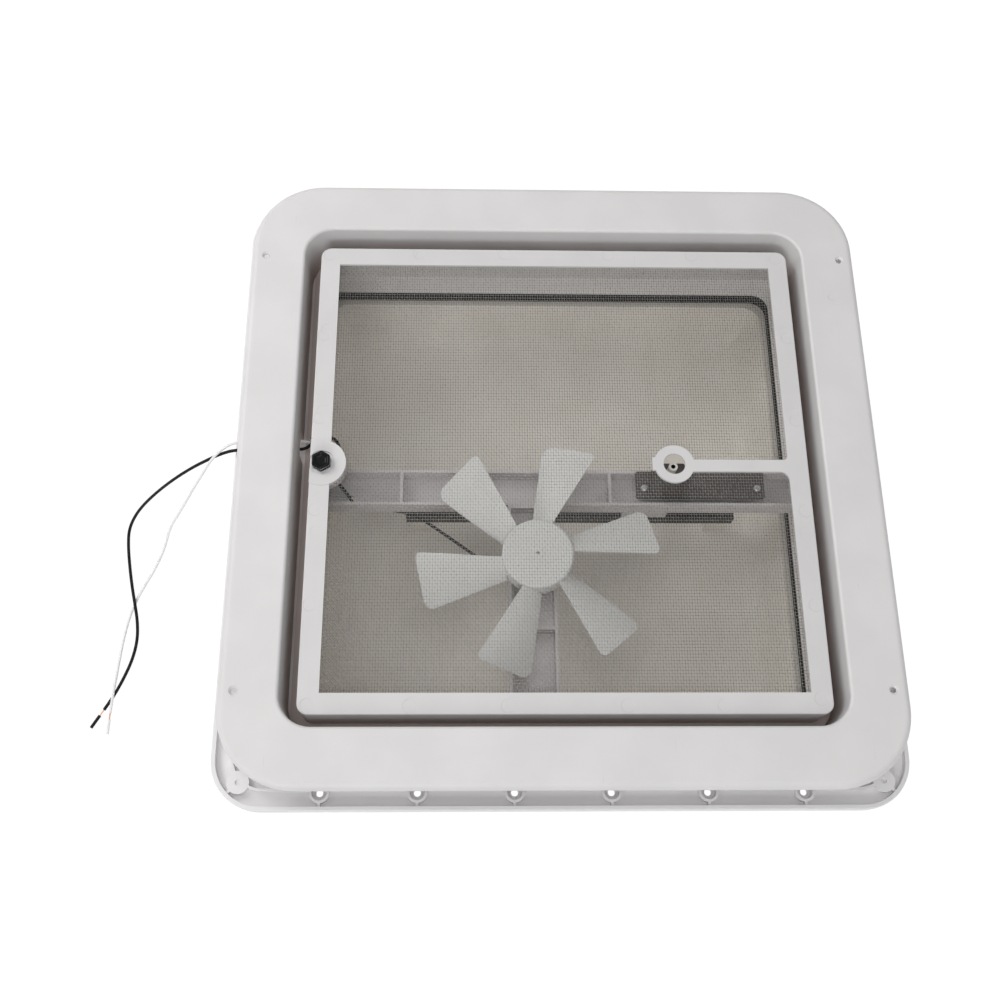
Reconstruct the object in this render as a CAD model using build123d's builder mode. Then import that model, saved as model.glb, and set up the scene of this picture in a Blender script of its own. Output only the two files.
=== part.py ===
from build123d import *
import os
from math import atan2, cos, degrees, pi, radians, sin, sqrt, tan

# Caravan roof vent with a 12 V fan, lying on its lid with the room side up, as it is boxed.
# Origin: middle of the opening, at the lid's crown, which is the floor. +Z points into the room.
# -X is the side where the two leads leave, +X is the side of the lid hinge and the crank.
# Lengths are millimetres.

os.makedirs("parts", exist_ok=True)

# Shared by several pieces
overrun = 1.0  # how far a cutting shape runs past the face it cuts
fit_gap = 0.3  # air between pieces that may move against each other
running_gap = 0.05  # radial play of a shaft in its bearing
vent_height = 120.0  # lid crown to the face of the trim ring

# Trim ring
trim_width = 418.0
trim_corner = 48.0
trim_wall = 2.2
trim_rim_depth = 9.0
trim_rim_round = 4.5
throat_corner = 20.0
throat_round = 1.9
trim_hole_inset = 10.0
trim_hole_y = 151.0
trim_hole_diameter = 3.6
trim_sink_diameter = 6.0
trim_sink_depth = 0.9

# Roof base: flange, neck and sealing lip
flange_reach = 49.5  # beyond the inside of the neck
flange_corner = 32.0
flange_plate = 2.0
flange_face_level = 77.0
flange_rim_height = 5.0
flange_rim_wall = 2.8
flange_rim_round = 1.0
flange_rib_wall = 1.6
flange_rib_height = 4.0
boss_inset = 11.2  # middle of a screw boss, in from the flange's edge
corner_boss_inset = 17.5
boss_diameter = 12.6
boss_wall = 1.7
boss_hole_diameter = 4.4
boss_pitch = 60.0
bosses_a_side = 6
boss_web = 1.8
corner_boss_diameter = 14.0
corner_recess_diameter = 3.6
corner_recess_depth = 1.2
neck_width = 336.0  # inside
neck_wall = 2.5
neck_corner = 12.0
neck_top_level = 80.0
lip_level = 43.0
lip_thickness = 2.0
lip_reach = 13.0
tab_length = 22.0
tab_reach = 8.5
tab_spacing = 200.0

# Insect screen frame
frame_width = 326.0
frame_gap = 9.5  # between the frame and the throat of the trim ring
frame_corner = 7.0
frame_drop = 7.0  # below the trim ring's face
frame_plate = 2.0
frame_wall = 2.0
frame_edge_round = 0.8
frame_foot = 2.0
frame_foot_reach = 5.5
frame_offset_x = 0.8
frame_offset_y = -1.4
window_width = 299.6
pin_mark_diameter = 8.0
pin_mark_depth = 0.15
pin_mark_inset = 6.6
switch_x = -154.6
switch_y = -0.9
switch_boss_diameter = 31.6
switch_boss_height = 9.4
switch_boss_proud = 0.4
switch_dish_diameter = 17.0
switch_dish_depth = 1.6
crank_x = 75.6
crank_y = -0.6
crank_ring_diameter = 26.4
crank_ring_bore = 14.4
crank_bar_width = 8.4
crank_bar_offset = -1.1
crank_bar_near_fillet = 6.0
crank_bar_far_fillet = 3.0
crank_lug_width = 9.0
crank_lug_reach = 1.2
gate_mark_diameter = 4.2
gate_mark_x = 126.5
near_mark_shares = (-1.0, -0.6, -0.21, 0.21, 0.6, 1.0)
far_mark_shares = (-0.6, 0.17, 0.52)
side_mark_shares = (0.63, 0.24, -0.3)

# Insect mesh
mesh_thickness = 0.4
mesh_wire = 1.2
mesh_gaps = 17
mesh_margin = 4.0  # how far the mesh runs under the frame

# Lid
lid_width = 377.0
lid_corner = 30.0
lid_wall = 2.5
lid_flange_level = 30.0
lid_skirt_top = 42.0
dome_width = 330.0
dome_corner = 14.0
dome_draft = 30.0  # degrees
dome_round = 15.0
gasket_width = 10.0
gasket_inside = 338.0
gasket_corner = 12.0

# Lid hinge, on the +X side
hinge_x = 196.0
hinge_level = 26.0
hinge_spacing = 120.0
hinge_pin_diameter = 4.0
pin_head_diameter = 7.0
pin_head_thickness = 1.5
knuckle_diameter = 9.0
knuckle_length = 14.0
ear_diameter = 11.0
ear_thickness = 3.0

# Lid track, a steel channel in which the lift arm's roller runs
track_left = -104.0
track_right = 132.0
track_wall = 1.5
track_web_y = -7.5
track_mouth_y = -2.9
post_length = 14.0
post_inset = 4.0
rivet_diameter = 3.0
rivet_head_diameter = 4.0
rivet_head_thickness = 0.8
rivet_depth = 8.0

# Crossbar, a moulded channel with a stem that carries the motor
bar_width = 25.6
bar_y = -1.1
bar_floor_level = 56.0
bar_floor = 2.0
bar_height = 14.0
bar_wall = 2.0
stem_x = -16.0
stem_width = 32.0
bar_rib_places = (-105.0, 38.0)
stem_rib_y = -100.0
bar_foot_thickness = 3.0
bar_foot_height = 22.0
foot_screw_diameter = 3.5
foot_screw_head_diameter = 7.0
foot_screw_head = 2.0
foot_screw_spacing = 17.0
wire_hole_diameter = 6.0
wire_hole_x = -140.0
wire_hole_shift = -5.3
bar_pip_x = -122.0
bar_pip_diameter = 4.0
bar_pip_height = 1.2

# Fan motor
motor_x = -13.9
motor_y = -56.7
motor_diameter = 28.0
motor_length = 36.0
motor_wall = 1.2
motor_seat_level = 74.0
seat_wall = 3.0
seat_lip = 2.0
seat_depth = 22.0
seat_bore = 14.0
nose_diameter = 8.0
nose_length = 2.4
motor_shaft_diameter = 3.0
shaft_top_level = 93.0
shaft_foot_level = 40.0
armature_diameter = 19.0
armature_length = 20.0
armature_level = 46.0
armature_slots = 5
armature_slot_width = 1.6
armature_slot_depth = 8.0
magnet_thickness = 2.4
magnet_length = 24.0
magnet_level = 44.0
magnet_break = 6.0
cap_thickness = 2.0
bearing_length = 4.0
terminal_width = 3.0
terminal_thickness = 0.8
terminal_length = 5.0
terminal_spacing = 12.0
motor_screw_diameter = 3.0
motor_screw_spacing = 18.0
motor_screw_head_diameter = 5.4
motor_screw_head = 2.0

# Fan
hub_diameter = 47.0
hub_top_level = 96.0
hub_height = 14.0
hub_wall = 2.0
hub_round = 1.5
hub_boss_diameter = 8.0
hub_boss_height = 0.4
hub_boss_rise = 2.0
hub_dimple_diameter = 2.4
blade_count = 6
blade_angle = 12.7
blade_tip_radius = 82.0
blade_thickness = 1.5
blade_level = 89.0
blade_root_pitch = 38.0
blade_tip_pitch = 22.0
blade_root_half_chord = 10.0
blade_tip_half_chord = 23.0
blade_camber = 1.6
blade_root_shift = 3.0
blade_overhang = 4.0
blade_root_near = 3.0
blade_root_far = 10.0
blade_near_corner_x = 78.3
blade_near_corner_y = 18.0
blade_far_corner_x = 78.8
blade_far_corner_y = 18.8
blade_near_round = 3.5
blade_far_round = 6.0

# Crank spindle, worm and lift arm
gear_module = 1.0
wheel_teeth = 24
worm_turns = 3
worm_pitch_radius = 4.0
tooth_backlash = 0.35
tooth_tip_width = 0.7
tooth_addendum = 0.9
tooth_dedendum = 1.2
tooth_flare = 0.35
tooth_width_share = 0.57
worm_root_gap = 0.1
pivot_level = 40.0
toothed_arc = 114.0
spindle_diameter = 6.0
spindle_top_level = 108.0
spindle_socket_diameter = 2.8
spindle_socket_depth = 8.0
worm_foot_diameter = 3.0
arm_thickness = 3.0
arm_width = 8.0
pivot_pin_diameter = 4.0
roller_diameter = 6.8
roller_length = 4.2
roller_pin_diameter = 3.0
bush_diameter = 8.0

# Crank housing, and the dark plate on the crossbar with its bearing box for the spindle
housing_wall = 2.0
housing_inside = 12.0
housing_left = 50.0
housing_right = 82.0
housing_foot_level = 32.0
housing_foot = 3.0
housing_foot_left = 72.2
plate_left = 56.0
plate_right = 144.5
plate_near = -9.1
plate_far = 10.5
plate_thickness = 2.0
plate_corner = 1.5
plate_screw_places = (61.8, 139.4)
plate_screw_y = -2.0
plate_post_diameter = 8.0
plate_screw_diameter = 3.0
plate_screw_head_diameter = 5.0
plate_screw_head = 1.8
plate_screw_round = 0.8
bearing_box_left = 65.8
bearing_box_right = 87.0
bearing_box_near = -8.6
bearing_box_far = 9.1
bearing_box_height = 18.0
bearing_box_wall = 1.8

# Push-button switch
switch_barrel_diameter = 7.0
switch_body_diameter = 10.6
switch_body_length = 20.0
switch_barrel_proud = 0.3
switch_terminal_spacing = 7.0
switch_terminal_root = 2.0
nut_flats = 12.6
nut_thickness = 2.6
button_flats = 11.6
button_corner = 1.6
button_height = 2.4
button_round = 0.7
button_stem_diameter = 4.0
button_stem_length = 7.0
button_travel = 1.0

# Wires: every list of points is a route chosen by hand
black_wire = 2.2
white_wire = 1.9
strand_diameter = 1.0
bend_share = 0.45  # how much of the shorter run beside a bend its arc takes
notch_y = 22.0
notch_width = 18.0
notch_top_level = 92.0
switch_feed_route = (
    (-151.1, -0.5, 81.0), (-151.1, 8.0, 81.0), (-147.6, 18.9, 78.5), (-148.8, 29.0, 79.0),
    (-155.1, 31.5, 83.0), (-163.1, 26.0, 86.0), (-170.1, 20.0, 86.0), (-177.0, 20.0, 86.0),
)
switch_motor_route = (
    (-158.1, -0.5, 81.0), (-158.1, 6.4, 81.0), (-155.6, 8.2, 74.0), (-149.0, 3.1, 67.0),
    (-141.4, -5.0, 62.5), (-139.6, -7.0, 54.5), (-133.9, -8.6, 51.0), (-118.0, -9.6, 50.5),
    (-96.0, -14.0, 50.2), (-71.9, -30.8, 49.6), (-50.0, -46.4, 48.0), (-39.0, -51.5, 41.5),
    (-30.0, -50.0, 36.0), (-19.9, -47.5, 35.5), (-19.9, -56.3, 35.5),
)
motor_return_route = (
    (-7.9, -56.3, 35.5), (-7.9, -47.3, 35.5), (-14.1, -37.1, 37.0), (-29.4, -24.9, 43.5),
    (-51.8, -10.6, 49.5), (-80.2, -1.5, 50.5), (-108.6, 0.5, 50.8), (-133.8, 4.0, 50.0),
    (-150.9, 13.6, 53.0), (-159.5, 20.2, 62.0), (-162.1, 23.8, 73.0), (-165.1, 25.9, 82.5),
    (-170.6, 26.0, 86.2), (-177.0, 26.0, 86.2),
)
black_lead_route = (
    (-177.0, 20.0, 86.0), (-194.0, 20.0, 86.0), (-216.8, 19.4, 85.8), (-225.2, 18.6, 82.5),
    (-234.0, 18.3, 75.5), (-252.7, 16.0, 60.5), (-272.3, 11.5, 43.0), (-290.2, 6.3, 24.0),
    (-302.2, 1.0, 9.0), (-308.4, -8.1, 1.4), (-307.6, -21.0, 1.1), (-304.9, -36.3, 1.1),
    (-301.5, -51.0, 2.2), (-297.4, -65.5, 3.7), (-294.6, -77.7, 2.4), (-293.5, -91.2, 1.1),
    (-295.6, -105.6, 1.1), (-300.6, -119.8, 1.1), (-306.4, -132.5, 1.1), (-311.4, -140.8, 1.1),
)
white_lead_route = (
    (-177.0, 26.0, 86.2), (-193.9, 26.0, 86.2), (-215.5, 25.3, 86.2), (-223.8, 22.3, 85.2),
    (-232.8, 16.4, 80.5), (-243.6, 7.6, 66.0), (-253.8, 3.6, 47.0), (-267.6, -5.2, 24.0),
    (-276.5, -8.9, 8.5), (-280.1, -16.5, 1.2), (-282.4, -27.0, 0.95), (-287.1, -40.0, 0.95),
    (-292.7, -51.4, 0.95), (-298.2, -64.1, 0.95), (-301.4, -76.6, 0.95), (-303.4, -89.7, 0.95),
    (-304.6, -103.4, 0.95), (-305.2, -117.3, 2.2), (-305.8, -132.3, 3.8), (-306.4, -143.1, 2.65),
)
bare_length = 4.5
slug_length = 10.0

# Levels and places that follow from the sizes above
trim_under = vent_height - trim_wall
throat_width = frame_width + 2 * frame_gap
trim_hole_x = trim_width / 2 - trim_hole_inset
flange_width = neck_width + 2 * flange_reach
frame_top = vent_height - frame_drop
frame_under = frame_top - frame_plate
flange_under = flange_face_level - flange_plate
bar_top = bar_floor_level + bar_height
bar_floor_top = bar_floor_level + bar_floor
plate_top = bar_top + plate_thickness
screw_level = bar_floor_level + (bar_height + bar_foot_height) / 2
neck_half = neck_width / 2
seat_radius = motor_diameter / 2 + running_gap
knuckle_y = (-hinge_spacing / 2, hinge_spacing / 2)
pitch_radius = gear_module * wheel_teeth / 2
worm_pitch = pi * gear_module
pivot_x = crank_x - worm_pitch_radius - pitch_radius
arm_length = sqrt((hinge_x - pivot_x) ** 2 + (pivot_level - hinge_level) ** 2)
arm_face_y = crank_y + arm_thickness / 2
arm_back_y = crank_y - arm_thickness / 2
roller_x = 2 * pivot_x - hinge_x
arm_slope = degrees(atan2(pivot_level - hinge_level, hinge_x - pivot_x))
bottom_level = motor_seat_level - motor_length
switch_boss_top = frame_top + switch_boss_proud
dish_level = switch_boss_top - switch_dish_depth
nut_top = dish_level + nut_thickness
switch_shoulder = switch_boss_top - switch_boss_height
button_under = nut_top + switch_barrel_proud + fit_gap + button_travel


def rounded_square(width, corner, mode=Mode.ADD):
    """A square with round corners, in the sketch that is being drawn."""
    RectangleRounded(width, width, corner, mode=mode)


def plane_at(level, x=0, y=0):
    """A horizontal plane at a height above the floor."""
    return Plane(origin=(x, y, level))


def side_places(distance, offsets):
    """Places along all four sides of a square: a distance out, and offsets to each side."""
    for offset in offsets:
        yield (distance, offset)
        yield (-distance, offset)
        yield (offset, distance)
        yield (offset, -distance)


def pitched(count, pitch):
    """Evenly spaced offsets about the middle."""
    return [(index - (count - 1) / 2) * pitch for index in range(count)]


def tube_along(points, diameter, name):
    """A round wire along straight runs joined by arcs as large as the runs allow."""
    spots = [Vector(*point) for point in points]
    runs = [after - before for before, after in zip(spots, spots[1:])]
    radii = []
    for before, after in zip(runs, runs[1:]):
        turn = radians(before.get_angle(after))
        radii.append(bend_share * min(before.length, after.length) / tan(turn / 2))
    print(name, "least bend radius", round(min(radii), 1), "radii", [round(r) for r in radii])
    with BuildPart() as tube:
        with BuildLine() as path:
            FilletPolyline(*spots, radius=radii)
        with BuildSketch(Plane(origin=spots[0], z_dir=runs[0])):
            Circle(diameter / 2)
        sweep(path=path.line)
    length = path.wires()[0].length
    share = tube.part.volume / (length * pi * diameter**2 / 4)
    print(name, "length", round(length, 1), "volume over section times length", round(share, 4))
    return tube.part


# Trim ring: a shallow tray upside down, with a deep throat that stands on the roof flange.
with BuildPart() as trim_ring:
    with BuildSketch(plane_at(vent_height - trim_rim_depth)):
        rounded_square(trim_width, trim_corner)
    extrude(amount=trim_rim_depth)
    fillet(trim_ring.edges().group_by(Axis.Z)[-1], trim_rim_round)
    with BuildSketch(plane_at(trim_under)):
        rounded_square(trim_width - 2 * trim_wall, trim_corner - trim_wall)
    extrude(amount=-(trim_rim_depth - trim_wall + overrun), mode=Mode.SUBTRACT)
    with BuildSketch(plane_at(flange_face_level)):
        rounded_square(throat_width + 2 * trim_wall, throat_corner + trim_wall)
    extrude(amount=trim_under - flange_face_level)
    with BuildSketch(plane_at(flange_face_level)):
        rounded_square(throat_width, throat_corner)
    extrude(amount=vent_height - flange_face_level, mode=Mode.SUBTRACT)
    face = trim_ring.faces().sort_by(Axis.Z)[-1]
    fillet(face.inner_wires()[0].edges(), throat_round)
    with Locations(*[(x, y, vent_height) for x in (-trim_hole_x, trim_hole_x) for y in (-trim_hole_y, trim_hole_y)]):
        CounterSinkHole(trim_hole_diameter / 2, trim_sink_diameter / 2, trim_wall + overrun)
    with Locations((-throat_width / 2, notch_y, flange_face_level)):
        Box(
            4 * trim_wall, notch_width, 2 * (notch_top_level - flange_face_level), mode=Mode.SUBTRACT,
        )
trim_ring.part.label = "trim_ring"
export_step(trim_ring.part, "parts/trim_ring.step")

# Roof base: plate with rim, rib and screw bosses, the neck through it and the lip at its end.
boss_line = flange_width / 2 - boss_inset
corner_boss = flange_width / 2 - corner_boss_inset
boss_places = list(side_places(boss_line, pitched(bosses_a_side, boss_pitch)))
corner_places = [(x, y) for x in (-corner_boss, corner_boss) for y in (-corner_boss, corner_boss)]
rib_width = 2 * boss_line - boss_web
corner_arc_middle = sqrt(2) * (flange_width / 2 - flange_corner)
corner_web_start = sqrt(2) * corner_boss
corner_web_length = corner_arc_middle + flange_corner - flange_rim_wall / 2 - corner_web_start
corner_web_middle = corner_web_start + corner_web_length / 2
with BuildPart() as roof_base:
    with BuildSketch(plane_at(flange_under)):
        rounded_square(flange_width, flange_corner)
    extrude(amount=flange_plate + flange_rim_height)
    fillet(roof_base.edges().group_by(Axis.Z)[-1], flange_rim_round)
    with BuildSketch(plane_at(flange_face_level)):
        rounded_square(flange_width - 2 * flange_rim_wall, flange_corner - flange_rim_wall)
        rounded_square(rib_width, flange_corner - boss_inset, mode=Mode.SUBTRACT)
        rounded_square(
            rib_width - 2 * flange_rib_wall, flange_corner - boss_inset - flange_rib_wall,
        )
    extrude(amount=flange_rim_height + overrun, mode=Mode.SUBTRACT)
    with BuildSketch(plane_at(flange_face_level + flange_rib_height)):
        rounded_square(flange_width - 2 * flange_rim_wall - overrun, flange_corner - flange_rim_wall)
    extrude(amount=flange_rim_height, mode=Mode.SUBTRACT)
    with BuildSketch(plane_at(flange_face_level)):
        with Locations(*boss_places):
            Circle(boss_diameter / 2)
        with Locations(*corner_places):
            Circle(corner_boss_diameter / 2)
        web_length = boss_inset - flange_rim_wall / 2
        web_line = flange_width / 2 - flange_rim_wall / 2 - web_length / 2
        for offset in pitched(bosses_a_side, boss_pitch):
            with Locations((offset, web_line), (offset, -web_line)):
                Rectangle(boss_web, web_length)
            with Locations((web_line, offset), (-web_line, offset)):
                Rectangle(web_length, boss_web)
        for turn in range(4):
            with Locations(Location((0, 0, 0), (0, 0, 45 + 90 * turn))):
                with Locations((corner_web_middle, 0)):
                    Rectangle(corner_web_length, boss_web)
    extrude(amount=flange_rib_height)
    with BuildSketch(plane_at(flange_face_level)):
        with Locations(*boss_places):
            Circle(boss_diameter / 2 - boss_wall)
    extrude(amount=flange_rib_height, mode=Mode.SUBTRACT)
    with BuildSketch(plane_at(flange_under)):
        with Locations(*boss_places):
            Circle(boss_hole_diameter / 2)
    extrude(amount=flange_plate, mode=Mode.SUBTRACT)
    with BuildSketch(plane_at(flange_face_level + flange_rib_height)):
        with Locations(*corner_places):
            Circle(corner_recess_diameter / 2)
    extrude(amount=-corner_recess_depth, mode=Mode.SUBTRACT)
    with BuildSketch(plane_at(lip_level)):
        rounded_square(neck_width + 2 * neck_wall, neck_corner + neck_wall)
    extrude(amount=neck_top_level - lip_level)
    with BuildSketch(plane_at(lip_level)):
        rounded_square(neck_width + 2 * lip_reach, neck_corner + lip_reach)
    extrude(amount=lip_thickness)
    with BuildSketch(plane_at(lip_level)):
        rounded_square(neck_width, neck_corner)
    extrude(amount=neck_top_level - lip_level, mode=Mode.SUBTRACT)
    for offset in pitched(2, tab_spacing):
        with BuildSketch(plane_at(neck_top_level)):
            with Locations((neck_half - tab_reach / 2, offset), (-neck_half + tab_reach / 2, offset)):
                Rectangle(tab_reach, tab_length)
            with Locations((offset, -neck_half + tab_reach / 2)):
                Rectangle(tab_length, tab_reach)
        extrude(amount=-lip_thickness)
    with BuildSketch(Plane.YZ.offset(-neck_half - neck_wall)):
        with Locations(*[(bar_y + y, screw_level) for y in pitched(2, foot_screw_spacing)]):
            Circle(foot_screw_diameter / 2)
    extrude(amount=neck_width + 2 * neck_wall, mode=Mode.SUBTRACT)
    for station in knuckle_y:
        for side in (-1, 1):
            inner_face = station + side * (knuckle_length / 2 + fit_gap)
            ear_plane = Plane(origin=(hinge_x, inner_face, hinge_level), x_dir=(-side, 0, 0), z_dir=(0, side, 0))
            with BuildSketch(ear_plane):
                Circle(ear_diameter / 2)
                with Locations((0, (flange_under - hinge_level) / 2)):
                    Rectangle(ear_diameter, flange_under - hinge_level)
                Circle(hinge_pin_diameter / 2, mode=Mode.SUBTRACT)
            extrude(amount=ear_thickness)
roof_base.part.label = "roof_base"
export_step(roof_base.part, "parts/roof_base.step")

# Insect screen frame: a square tray turned over, with the switch boss and the crank's ring.
with BuildPart() as screen_frame:
    with BuildSketch(plane_at(neck_top_level, frame_offset_x, frame_offset_y)):
        rounded_square(frame_width, frame_corner)
    extrude(amount=frame_top - neck_top_level)
    fillet(screen_frame.edges().group_by(Axis.Z)[-1], frame_edge_round)
    with BuildSketch(plane_at(neck_top_level, frame_offset_x, frame_offset_y)):
        rounded_square(frame_width + 2 * frame_foot_reach, frame_corner + frame_foot_reach)
    extrude(amount=frame_foot)
    with BuildSketch(plane_at(neck_top_level, frame_offset_x, frame_offset_y)):
        rounded_square(frame_width - 2 * frame_wall, frame_corner - frame_wall)
    extrude(amount=frame_under - neck_top_level, mode=Mode.SUBTRACT)
    with BuildSketch(plane_at(frame_under, frame_offset_x, frame_offset_y)):
        Rectangle(window_width, window_width)
    extrude(amount=frame_plate, mode=Mode.SUBTRACT)
    bar_end = frame_offset_x + window_width / 2
    with BuildSketch(plane_at(frame_under)):
        with Locations(((crank_x + bar_end) / 2, crank_y + crank_bar_offset)):
            Rectangle(bar_end - crank_x, crank_bar_width)
        with Locations((crank_x, crank_y)):
            Circle(crank_ring_diameter / 2)
        with Locations((crank_x - crank_ring_diameter / 2, crank_y)):
            Rectangle(2 * crank_lug_reach, crank_lug_width)
        with Locations((crank_x, crank_y)):
            Circle(crank_ring_bore / 2, mode=Mode.SUBTRACT)
    extrude(amount=frame_plate)
    with BuildSketch(plane_at(frame_under)):
        for side, reach in ((-1, crank_bar_near_fillet), (1, crank_bar_far_fillet)):
            edge = crank_y + crank_bar_offset + side * crank_bar_width / 2
            with BuildLine():
                corner = (bar_end, edge)
                start = (bar_end - reach, edge)
                stop = (bar_end, edge + side * reach)
                Line(start, corner)
                Line(corner, stop)
                TangentArc(stop, start, tangent=(0, -side))
            make_face()
    extrude(amount=frame_plate)
    with BuildSketch(plane_at(switch_shoulder)):
        with Locations((switch_x, switch_y)):
            Circle(switch_boss_diameter / 2)
        with Locations((frame_offset_x, frame_offset_y)):
            rounded_square(frame_width, frame_corner, mode=Mode.INTERSECT)
    extrude(amount=switch_boss_height)
    with BuildSketch(plane_at(dish_level, switch_x, switch_y)):
        Circle(switch_dish_diameter / 2)
    extrude(amount=switch_dish_depth, mode=Mode.SUBTRACT)
    with BuildSketch(plane_at(switch_shoulder, switch_x, switch_y)):
        Circle(switch_barrel_diameter / 2)
    extrude(amount=switch_boss_height, mode=Mode.SUBTRACT)
    mark_line = frame_width / 2 - pin_mark_inset
    with BuildSketch(plane_at(frame_top, frame_offset_x, frame_offset_y)):
        with Locations(*[(share * mark_line, -mark_line) for share in near_mark_shares]):
            Circle(pin_mark_diameter / 2)
        with Locations(*[(share * mark_line, mark_line) for share in far_mark_shares]):
            Circle(pin_mark_diameter / 2)
        with Locations(*[(side * mark_line, share * mark_line) for side in (-1, 1) for share in side_mark_shares]):
            Circle(pin_mark_diameter / 2)
        with Locations((gate_mark_x, crank_y + crank_bar_offset - frame_offset_y)):
            Circle(gate_mark_diameter / 2)
    extrude(amount=-pin_mark_depth, mode=Mode.SUBTRACT)
    with Locations((frame_offset_x - frame_width / 2, notch_y, neck_top_level)):
        Box(
            2 * (frame_foot_reach + overrun), notch_width, 2 * (notch_top_level - neck_top_level),
            mode=Mode.SUBTRACT,
        )
screen_frame.part.label = "screen_frame"
export_step(screen_frame.part, "parts/screen_frame.step")

# Insect mesh: one holed sheet under the frame, open at the crank's ring and at the switch boss.
mesh_width = window_width + 2 * mesh_margin
mesh_pitch = (window_width - mesh_wire) / mesh_gaps
with BuildPart() as insect_mesh:
    with BuildSketch(plane_at(frame_under - mesh_thickness)):
        with Locations((frame_offset_x, frame_offset_y)):
            Rectangle(mesh_width, mesh_width)
        with Locations((frame_offset_x, frame_offset_y)):
            with GridLocations(mesh_pitch, mesh_pitch, mesh_gaps, mesh_gaps):
                Rectangle(mesh_pitch - mesh_wire, mesh_pitch - mesh_wire, mode=Mode.SUBTRACT)
        with Locations((crank_x, crank_y)):
            Circle(crank_ring_diameter / 2)
            Circle(crank_ring_bore / 2, mode=Mode.SUBTRACT)
        with Locations((switch_x, switch_y)):
            Circle(switch_boss_diameter / 2 + running_gap, mode=Mode.SUBTRACT)
    extrude(amount=mesh_thickness)
insect_mesh.part.label = "insect_mesh"
export_step(insect_mesh.part, "parts/insect_mesh.step")


def dome_body(width, corner, depth, rounding):
    """A sloping dish below the lid's flange level, round at its bottom edge."""
    with BuildPart() as body:
        with BuildSketch(plane_at(lid_flange_level)):
            rounded_square(width, corner)
        extrude(amount=-depth, taper=dome_draft)
        fillet(body.edges().group_by(Axis.Z)[0], rounding)
    return body.part


# Lid: a dish with a flange, a skirt, hinge knuckles and two posts for the track.
dome_outer = dome_body(dome_width + 2 * lid_wall, dome_corner + lid_wall, lid_flange_level, dome_round + lid_wall)
dome_inner = dome_body(dome_width, dome_corner, lid_flange_level - lid_wall, dome_round)
track_foot_level = hinge_level - roller_diameter / 2 - fit_gap - track_wall
post_width = track_mouth_y - track_web_y + track_wall
post_y = (track_mouth_y + track_web_y - track_wall) / 2
rivet_y = (track_mouth_y + track_web_y) / 2
post_places = (track_left + post_inset + post_length / 2, track_right - post_inset - post_length / 2)
with BuildPart() as lid_dome:
    add(dome_outer)
    with BuildSketch(plane_at(lid_flange_level - lid_wall)):
        rounded_square(lid_width, lid_corner)
    extrude(amount=lid_skirt_top - lid_flange_level + lid_wall)
    with BuildSketch(plane_at(lid_flange_level)):
        rounded_square(lid_width - 2 * lid_wall, lid_corner - lid_wall)
    extrude(amount=lid_skirt_top - lid_flange_level, mode=Mode.SUBTRACT)
    add(dome_inner, mode=Mode.SUBTRACT)
    with BuildSketch(plane_at(lid_wall / 2)):
        with Locations(*[(place, post_y) for place in post_places]):
            Rectangle(post_length, post_width)
    extrude(amount=track_foot_level - lid_wall / 2)
    knuckle_base = lid_width / 2 - lid_wall
    for station in knuckle_y:
        with BuildSketch(Plane.XZ.offset(-(station + knuckle_length / 2))):
            with Locations(((knuckle_base + hinge_x) / 2, hinge_level)):
                Rectangle(hinge_x - knuckle_base, knuckle_diameter)
            with Locations((hinge_x, hinge_level)):
                Circle(knuckle_diameter / 2)
        extrude(amount=knuckle_length)
        with BuildSketch(Plane.XZ.offset(-(station + knuckle_length / 2))):
            with Locations((hinge_x, hinge_level)):
                Circle(hinge_pin_diameter / 2 + running_gap)
        extrude(amount=knuckle_length, mode=Mode.SUBTRACT)
    with BuildSketch(plane_at(track_foot_level)):
        with Locations(*[(place, rivet_y) for place in post_places]):
            Circle(rivet_diameter / 2)
    extrude(amount=-rivet_depth, mode=Mode.SUBTRACT)
lid_dome.part.label = "lid_dome"
export_step(lid_dome.part, "parts/lid_dome.step")

# Foam gasket: lies on the lid's flange and meets the lip of the neck.
with BuildPart() as lid_gasket:
    with BuildSketch(plane_at(lid_flange_level)):
        rounded_square(gasket_inside + 2 * gasket_width, gasket_corner + gasket_width)
        rounded_square(gasket_inside, gasket_corner, mode=Mode.SUBTRACT)
    extrude(amount=lip_level - fit_gap - lid_flange_level)
lid_gasket.part.label = "lid_gasket"
export_step(lid_gasket.part, "parts/lid_gasket.step")

# Hinge pins, headed, pressed into the ears of the base.
pin_reach = knuckle_length / 2 + fit_gap + ear_thickness
with BuildPart() as hinge_pins:
    for station in knuckle_y:
        with BuildSketch(Plane.XZ.offset(-(station + pin_reach))):
            with Locations((hinge_x, hinge_level)):
                Circle(hinge_pin_diameter / 2)
        extrude(amount=2 * pin_reach)
        with BuildSketch(Plane.XZ.offset(-(station + pin_reach + pin_head_thickness))):
            with Locations((hinge_x, hinge_level)):
                Circle(pin_head_diameter / 2)
        extrude(amount=pin_head_thickness)
hinge_pins.part.label = "hinge_pins"
export_step(hinge_pins.part, "parts/hinge_pins.step")

# Lid track: a channel open to the arm's side.
track_gap = roller_diameter + 2 * fit_gap
with BuildPart() as lid_track:
    with BuildSketch(Plane.YZ.offset(track_left)):
        with Locations((post_y, hinge_level)):
            Rectangle(post_width, track_gap + 2 * track_wall)
        with Locations((post_y + track_wall / 2, hinge_level)):
            Rectangle(post_width - track_wall, track_gap, mode=Mode.SUBTRACT)
    extrude(amount=track_right - track_left)
    with BuildSketch(plane_at(track_foot_level)):
        with Locations(*[(place, rivet_y) for place in post_places]):
            Circle(rivet_diameter / 2)
    extrude(amount=track_wall, mode=Mode.SUBTRACT)
lid_track.part.label = "lid_track"
export_step(lid_track.part, "parts/lid_track.step")

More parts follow.
